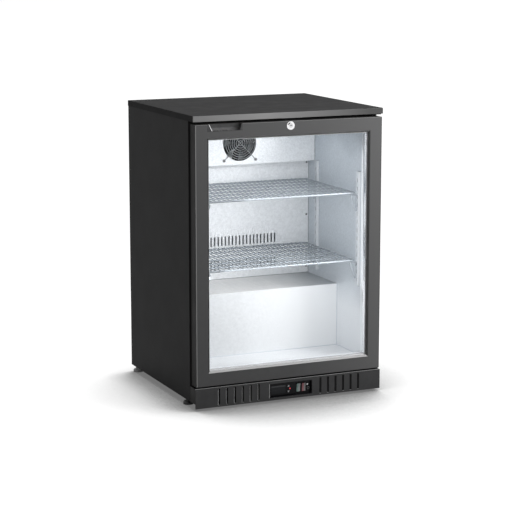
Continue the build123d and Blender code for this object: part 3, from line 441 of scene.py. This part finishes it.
def dress():
    """Give every CAD node its material."""
    black, satin, plastic, fan = powder_coat(), door_coat(), black_plastic(), fan_plastic()
    gloss, zinc, bright, wire = gloss_plastic(), brushed_zinc(), chrome(), wire_coat()
    panel = stucco("liner_panel", (0.82, 0.835, 0.85), 0.38, 0.1)
    wall = liner_wall()
    zinc_sheet, fins = galvanised(), aluminium_fins()
    # painted light: the rear feet are lighter grey for the light on them, the front feet black for the shade
    rear_foot_lit = plain("foot_grey", (0.42, 0.42, 0.42), 0.5)
    finishes = {
        "worktop_skin": worktop_coat(), "worktop_core": board(), "strike_plate": zinc,
        "side_panels": black, "front_frame": black, "rear_grille": black,
        "back_panel": zinc_sheet, "inner_panels": zinc_sheet, "base_pan": zinc_sheet,
        "insulation": foam(), "liner": wall, "fan_cover": panel, "duct_panel": panel,
        "step_cover": step_sheet(),
        "door_frame": satin, "door_corner_keys": plastic, "door_glass": clear_glass(),
        "glazing_spacer": spacer_sheet(), "door_gasket": rubber(),
        "finger_pull": pull_plastic(), "finger_pull_trim": bright,
        "lock_barrel": bright, "lock_plug": lock_chrome(), "lock_cam": zinc, "door_hinges": black,
        "screws": dark_zinc(), "cable_entry": plastic, "kick_plate": kick_plastic(),
        "control_housing": recess_plastic(), "controller": gloss, "controller_display": lens(),
        "key_up": plastic, "key_down": plastic, "switch_panel": gloss,
        "status_led": plain("led_red", (0.45, 0.04, 0.05), 0.25).glow((1, 0.08, 0.08), 0.30),
        "rocker_light": rocker("rocker_green", "rocker_light", (0.15, 0.22, 0.20), (0.24, 0.25, 0.25)),
        "rocker_fan": rocker("rocker_red", "rocker_fan", (0.24, 0.10, 0.11), (0.19, 0.18, 0.18)),
        "evaporator_fan_frame": fan, "evaporator_fan_rotor": fan, "fan_guard": guard_chrome(),
        "evaporator": fins, "condenser": fins,
        "lamp_housing": plain("lamp_white", (0.85, 0.85, 0.85), 0.4),
        "lamp_strip": plain("lamp_strip", (0.95, 0.97, 1.0), 0.4).glow((0.92, 0.96, 1.0), 1.5),
        "shelf_lower": wire, "shelf_upper": wire, "shelf_clips": wire,
        "shelf_pilasters": upright_steel(),
        "compressor": compressor_paint(), "compressor_mounts": rubber(), "drain_tray": plastic,
        "condenser_shroud": zinc_sheet, "condenser_fan_motor": plastic,
        "condenser_fan_rotor": fan, "refrigerant_pipes": copper(),
        # painted light: front feet black as shaded, rear feet lighter grey as lit
        "foot_front_left": plastic, "foot_front_right": plastic,
        "foot_rear_left": rear_foot_lit, "foot_rear_right": rear_foot_lit,
    }
    for name, surface in finishes.items():
        node = nodes[name]
        node.data.materials.clear()
        node.data.materials.append(surface.material)
    missing = sorted(set(nodes) - set(finishes))
    assert not missing, missing


# ---- Small pieces ---------------------------------------------------------------------------
def add_piece(name, mesh_builder, surface, body):
    """A mesh piece that rides on a body."""
    mesh = bpy.data.meshes.new(name)
    shape = bmesh.new()
    mesh_builder(shape)
    bmesh.ops.recalc_face_normals(shape, faces=shape.faces)
    shape.to_mesh(mesh)
    shape.free()
    mesh.materials.append(surface.material)
    piece = bpy.data.objects.new(name, mesh)
    bpy.context.scene.collection.objects.link(piece)
    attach(piece, body)


def outline_prism(shape, points, y_front, y_back):
    """Prism with an outline in X and Z."""
    front = [shape.verts.new((x, y_front, z)) for x, z in points]
    back = [shape.verts.new((x, y_back, z)) for x, z in points]
    shape.faces.new(front)
    shape.faces.new(back[::-1])
    for i in range(len(points)):
        j = (i + 1) % len(points)
        shape.faces.new((front[i], front[j], back[j], back[i]))


def lofted_rings(shape, rings, closed):
    """Skin through rings of points; closed joins the last ring to the first."""
    made = [[shape.verts.new(point) for point in ring] for ring in rings]
    pairs = list(zip(made, made[1:]))
    if closed:
        pairs.append((made[-1], made[0]))
    for first, second in pairs:
        for i in range(len(first)):
            j = (i + 1) % len(first)
            shape.faces.new((first[i], first[j], second[j], second[i]))
    if not closed:
        shape.faces.new(made[0][::-1])
        shape.faces.new(made[-1])


def circle_points(x, z, radius):
    """Twenty points of a circle in X and Z."""
    turns = [2 * math.pi * i / 20 for i in range(20)]
    return [(x + radius * math.cos(turn), z + radius * math.sin(turn)) for turn in turns]


def button(shape, x, z, radius, y_back, proud):
    """Domed round button that faces -Y."""
    steps = ((1.0, 0.0), (1.0, 0.6), (0.85, 0.9), (0.5, 1.0))
    lofted_rings(shape, [[(px, y_back - proud * rise, pz) for px, pz in circle_points(x, z, radius * share)]
                         for share, rise in steps], closed=False)


def collar(shape, x, z, inner, outer, y_back, proud):
    """Round collar that faces -Y."""
    bevel = 0.0004
    section = ((outer, 0), (outer, 0.7), (outer - bevel, 1), (inner + bevel, 1), (inner, 0.7), (inner, 0))
    lofted_rings(shape, [[(px, y_back - proud * rise, pz) for px, pz in circle_points(x, z, radius)]
                         for radius, rise in section], closed=True)


def middle(node):
    low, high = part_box(node)
    return (Vector(low) + Vector(high)) / 2


def make_key_marks():
    """Raised triangles on the two keys."""
    white = plain("mark_white", (0.40, 0.40, 0.41), 0.4)
    half, proud = 0.0026, 0.0002
    for name, body, sign in (("key_up", "up_key", 1), ("key_down", "down_key", -1)):
        centre, front = middle(name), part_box(name)[0][1]
        base = centre.z - sign * half * 0.7
        points = [(centre.x - half, base), (centre.x + half, base), (centre.x, centre.z + sign * half)]
        add_piece(f"{name}_mark", lambda s, p=points, f=front: outline_prism(s, p, f - proud, f + proud),
                  white, body)


def make_switch_marks():
    """White pilot lamp and dark adjuster collar beside the rockers."""
    low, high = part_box("switch_panel")
    face = low[1]
    x = (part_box("rocker_fan")[1][0] + high[0]) / 2
    z = middle("rocker_fan").z
    lamp_radius, lamp_proud = 0.0026, 0.0012
    white = plain("pilot_white", (0.80, 0.80, 0.80), 0.3)
    add_piece("pilot_lamp", lambda s: button(s, x - 0.002, z + 0.0067, lamp_radius, face, lamp_proud),
              white, "cabinet")
    inner, outer, collar_proud = 0.0026, 0.0042, 0.0010
    grey = plain("adjuster_grey", (0.10, 0.10, 0.10), 0.35)
    add_piece("adjuster_collar", lambda s: collar(s, x + 0.001, z - 0.005, inner, outer, face, collar_proud),
              grey, "cabinet")


def make_lock_painted_shadow():
    """Black crescent on the lock's bezel: painted shadow of the barrel's recess."""
    centre, face = middle("lock_plug"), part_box("lock_barrel")[0][1]
    inner, outer = 0.0068, 0.0102
    turns = [math.radians(angle) for angle in range(105, 166, 10)]
    arc = [(centre.x + r * math.cos(a), centre.z + r * math.sin(a))
           for r, angles in ((outer, turns), (inner, turns[::-1])) for a in angles]
    # painted shadow on the upper left of the bezel
    add_piece("lock_painted_shadow", lambda s: outline_prism(s, arc, face - 0.00015, face + 0.0001),
              plain("lock_shadow_black", (0.012, 0.012, 0.012), 0.4), "door")


def make_slot_shade_strips():
    """Dark strip inside each shelf upright, seen through its slots: painted shade in the upright's channel.
    """
    low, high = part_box("shelf_pilasters")
    wide, deep, sheet = 0.016, 0.008, 0.0012  # the upright's channel
    gap, half, half_back, thick, end = 0.0003, 0.005, 0.0045, 0.0006, 0.004
    levels = (low[2] + end, high[2] - end)
    # painted shade: a dark strip where the channel would be in shade
    dark = plain("slot_painted_shade", (0.035, 0.037, 0.040), 0.7)

    def shade_strips(shape):
        for y in (low[1] + wide / 2, high[1] - wide / 2):
            for side in (-1, 1):
                x = side * (high[0] - deep + sheet + gap)
                back_x = x + side * thick
                ring = [(x, y - half), (x, y + half), (back_x, y + half_back), (back_x, y - half_back)]
                lofted_rings(shape, [[(px, py, z) for px, py in ring] for z in levels], closed=False)

    add_piece("upright_shade_strips", shade_strips, dark, "cabinet")


def make_door_lining():
    """White lip on the frame's inner edge, from the glass to the case."""
    frame_low, frame_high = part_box("door_frame")
    glass_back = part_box("door_glass")[1][1]
    # the frame is 43 mm wide all round; the lip is a 0.6 mm skin just off its inner faces
    wide, skin, seat = 0.043, 0.0006, 0.0001
    x0, x1 = frame_low[0] + wide + seat, frame_high[0] - wide - seat
    z0, z1 = frame_low[2] + wide + seat, frame_high[2] - wide - seat
    y0, y1 = glass_back + 0.0003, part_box("door_gasket")[1][1]

    def loop(inset, y):
        return [(x0 + inset, y, z0 + inset), (x1 - inset, y, z0 + inset), (x1 - inset, y, z1 - inset),
                (x0 + inset, y, z1 - inset)]

    rings = [loop(0, y0), loop(0, y1), loop(skin, y1 - skin / 2), loop(skin, y0)]
    add_piece("door_lining", lambda s: lofted_rings(s, rings, closed=True),
              plain("lining_white", (0.84, 0.86, 0.88), 0.4), "door")


def make_air_filter():
    """Pleated black filter mat behind each group of louvres."""
    kick_low, kick_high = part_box("kick_plate")
    housing_low, housing_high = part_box("control_housing")
    y_front, y_back = kick_low[1] + 0.0107, kick_low[1] + 0.0130  # behind the blades
    pleat, pitch = 0.0012, 0.004
    z0, z1 = kick_low[2] + 0.001, kick_high[2] - 0.0035
    left_gap, housing_gap, right_gap = 0.006, 0.002, 0.034
    dark = Surface("filter_black", (0.006, 0.006, 0.006), 0.9).mottle(300, 0.3).grain(900, 0.0003)
    dark.set("Specular IOR Level", 0.0)

    def mat(shape, x0, x1):
        count = int((x1 - x0) / pitch)
        xs = [x0 + (x1 - x0) * i / count for i in range(count + 1)]
        front = [(x, y_front + pleat * (i % 2)) for i, x in enumerate(xs)]
        lofted_rings(shape, [[(x, y, z) for x, y in front] + [(x1, y_back, z), (x0, y_back, z)]
                             for z in (z0, z1)], closed=False)

    for side, x0, x1 in (("left", kick_low[0] + left_gap, housing_low[0] - housing_gap),
                         ("right", housing_high[0] + housing_gap, kick_high[0] - right_gap)):
        add_piece(f"air_filter_{side}", lambda s, a=x0, b=x1: mat(s, a, b), dark, "cabinet")


def bead(shape, start, end, radius):
    """Round bead of sealant between two points."""
    start, end = Vector(start), Vector(end)
    along = (end - start).normalized()
    side = along.orthogonal().normalized()
    over = along.cross(side)
    turns = [2 * math.pi * i / 8 for i in range(8)]
    ring = [radius * (side * math.cos(turn) + over * math.sin(turn)) for turn in turns]
    lofted_rings(shape, [[start + p for p in ring], [end + p for p in ring]], closed=False)


def make_seals():
    """Beads in the liner's corners: dark ones beside the duct and fan cover as painted shade in those
    corners, pale sealant lower down.
    """
    wall_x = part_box("fan_cover")[1][0] + 0.0005
    cover_low, cover_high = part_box("fan_cover")
    duct_y, step_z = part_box("duct_panel")[0][1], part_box("step_cover")[1][2]
    step_y, floor_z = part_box("step_cover")[0][1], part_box("step_cover")[0][2]
    front_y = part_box("liner")[0][1] + 0.002
    dark, pale, off = 0.0007, 0.0008, 0.0003  # radii, and how far the beads stand off the faces
    cover_y, cover_z, ceiling_z = cover_low[1], cover_low[2], cover_high[2]

    # painted shade: dark beads in the corners beside the duct and fan cover
    def corner_shade_lines(shape):
        for x in (-wall_x + off, wall_x - off):
            bead(shape, (x, cover_y - off, cover_z), (x, cover_y - off, ceiling_z), dark)
            bead(shape, (x, duct_y - off, step_z), (x, duct_y - off, cover_z), dark)
        bead(shape, (-wall_x, duct_y - off, step_z + off), (wall_x, duct_y - off, step_z + off), dark)

    def pale_lines(shape):
        for x in (-wall_x + off, wall_x - off):
            bead(shape, (x, step_y - off, floor_z), (x, step_y - off, step_z), pale)
            bead(shape, (x, front_y, floor_z + off), (x, step_y, floor_z + off), pale)
        bead(shape, (-wall_x, step_y - off, floor_z + off), (wall_x, step_y - off, floor_z + off), pale)

    # dark grey for the painted corner shade, pale grey-blue for the sealant
    grey = plain("corner_shade_grey", (0.14, 0.15, 0.16), 0.5)
    white = plain("seal_white", (0.52, 0.56, 0.62), 0.4)
    add_piece("duct_corner_shade", corner_shade_lines, grey, "cabinet")
    add_piece("step_sealant", pale_lines, white, "cabinet")


# ---- Floor, world and lights ----------------------------------------------------------------
def seen_ray(tree):
    """1 for camera, glossy and transmission rays, else 0."""
    path = tree.nodes.new("ShaderNodeLightPath")
    value = path.outputs["Is Camera Ray"]
    for name in ("Is Glossy Ray", "Is Transmission Ray"):
        either = tree.nodes.new("ShaderNodeMath")
        either.operation = "MAXIMUM"
        tree.links.new(value, either.inputs[0])
        tree.links.new(path.outputs[name], either.inputs[1])
        value = either.outputs[0]
    return value


def contact_shade(surface, reach, lean, start, stop):
    """Share of open sky over a floor point, counted within reach, from dark by the object to 1."""
    darkest = 0.17
    shade = surface.node("ShaderNodeAmbientOcclusion", samples=8)
    shade.inputs["Distance"].default_value = reach
    upward = surface.node("ShaderNodeCombineXYZ")
    for socket, value in zip(upward.inputs, Vector(lean).normalized()):
        socket.default_value = value
    surface.link(upward.outputs[0], shade.inputs["Normal"])
    return surface.ranged(shade.outputs["AO"], darkest, 1.0, start, stop)


def make_floor():
    """White floor that keeps the object's shadow, darkest close to it."""
    half_side, drop = 30, 0.0005
    mesh = bpy.data.meshes.new("floor")
    shape = bmesh.new()
    bmesh.ops.create_grid(shape, x_segments=1, y_segments=1, size=half_side)
    shape.to_mesh(mesh)
    shape.free()
    floor = bpy.data.objects.new("floor", mesh)
    floor.location.z = -drop
    bpy.context.scene.collection.objects.link(floor)
    surface = Surface("floor", (0.25, 0.25, 0.25), 0.9)
    surface.set("Specular IOR Level", 0.0)
    tree = surface.tree
    near = contact_shade(surface, 0.17, (0.30, 0.30, 1), 0.46, 0.86)
    wide = contact_shade(surface, 0.42, (0, 0.45, 1), 0.34, 0.86)
    least = surface.node("ShaderNodeMath", operation="MINIMUM")
    surface.link(near, least.inputs[0])
    surface.link(wide, least.inputs[1])
    open_sky = least.outputs[0]
    colour = surface.node("ShaderNodeMix", data_type="RGBA")
    colour.inputs["A"].default_value = (0, 0, 0, 1)
    colour.inputs["B"].default_value = surface.colour
    surface.link(open_sky, colour.inputs["Factor"])
    surface.link(colour.outputs["Result"], surface.shader.inputs["Base Color"])
    strength = surface.node("ShaderNodeMath", operation="MULTIPLY")
    surface.link(seen_ray(tree), strength.inputs[0])
    strength.inputs[1].default_value = FLOOR_GLOW
    shaded = surface.node("ShaderNodeMath", operation="MULTIPLY")
    surface.link(strength.outputs[0], shaded.inputs[0])
    surface.link(open_sky, shaded.inputs[1])
    glow = surface.node("ShaderNodeEmission")
    surface.link(shaded.outputs[0], glow.inputs["Strength"])
    total = surface.node("ShaderNodeAddShader")
    surface.link(surface.shader.outputs[0], total.inputs[0])
    surface.link(glow.outputs[0], total.inputs[1])
    surface.link(total.outputs[0], tree.nodes["Material Output"].inputs["Surface"])
    mesh.materials.append(surface.material)


def make_world():
    """Soft dome, brighter to the right, and white where it is seen."""
    world = bpy.data.worlds.new("world")
    bpy.context.scene.world = world
    world.use_nodes = True
    tree = world.node_tree
    background = tree.nodes["Background"]
    background.inputs["Color"].default_value = (1, 1, 1, 1)
    parts = tree.nodes.new("ShaderNodeSeparateXYZ")
    tree.links.new(tree.nodes.new("ShaderNodeTexCoord").outputs["Generated"], parts.inputs["Vector"])
    level = tree.nodes.new("ShaderNodeMath")
    level.operation = "MULTIPLY_ADD"
    tree.links.new(parts.outputs["X"], level.inputs[0])
    level.inputs[1].default_value = SKY_TILT
    level.inputs[2].default_value = SKY
    pick = tree.nodes.new("ShaderNodeMix")
    tree.links.new(seen_ray(tree), pick.inputs["Factor"])
    tree.links.new(level.outputs[0], pick.inputs["A"])
    pick.inputs["B"].default_value = 1.0
    tree.links.new(pick.outputs["Result"], background.inputs["Strength"])


def add_light(name, place, aim, watts, size, colour=(1, 1, 1), spread=180):
    """Rectangular light at a place, turned to its aim; spread in degrees."""
    data = bpy.data.lights.new(name, "AREA")
    data.energy = watts
    data.color = colour
    data.shape = "RECTANGLE"
    data.size, data.size_y = size
    data.spread = math.radians(spread)
    light = bpy.data.objects.new(name, data)
    light.location = place
    light.rotation_euler = (Vector(aim) - Vector(place)).to_track_quat("-Z", "Y").to_euler()
    bpy.context.scene.collection.objects.link(light)
    light.visible_camera = False


def make_lights():
    """A softbox at the right front and the cabinet's own light, spread over the doorway."""
    add_light("front_box", (1.05, -1.25, 1.35), (0, -0.25, 0.5), 25, (0.7, 0.7))
    low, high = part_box("liner")
    step_y, step_top = 0.08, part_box("step_cover")[1][2]
    cool = (0.97, 0.985, 1.0)
    front, ceiling = low[1] + 0.002, high[2]
    centre, low_centre = (step_top + ceiling) / 2, (low[2] + step_top) / 2
    add_light("inner_spread", (0.04, front, centre - 0.03), (0.14, 1, centre - 0.06),
              0.88, (0.48, 0.42), cool)
    add_light("inner_right", (0.19, front + 0.03, ceiling - 0.05), (-0.22, 0.14, centre + 0.08),
              0.13, (0.12, 0.06), cool, spread=80)
    add_light("inner_low", (0.10, front, low_centre), (0.26, 1, low_centre),
              0.115, (0.36, 0.15), cool)
    add_light("inner_step", (-0.04, front + 0.01, step_top + 0.075), (-0.04, step_y, step_top),
              0.17, (0.40, 0.02), cool)
    add_light("inner_top", (0.05, front + 0.05, ceiling - 0.03), (-0.1, step_y, step_top),
              0.22, (0.36, 0.03), cool)


bpy.context.scene.view_settings.view_transform = "Standard"
make_camera()
dress()
make_key_marks()
make_switch_marks()
make_lock_painted_shadow()
make_slot_shade_strips()
make_door_lining()
make_air_filter()
make_seals()
make_floor()
make_world()
make_lights()
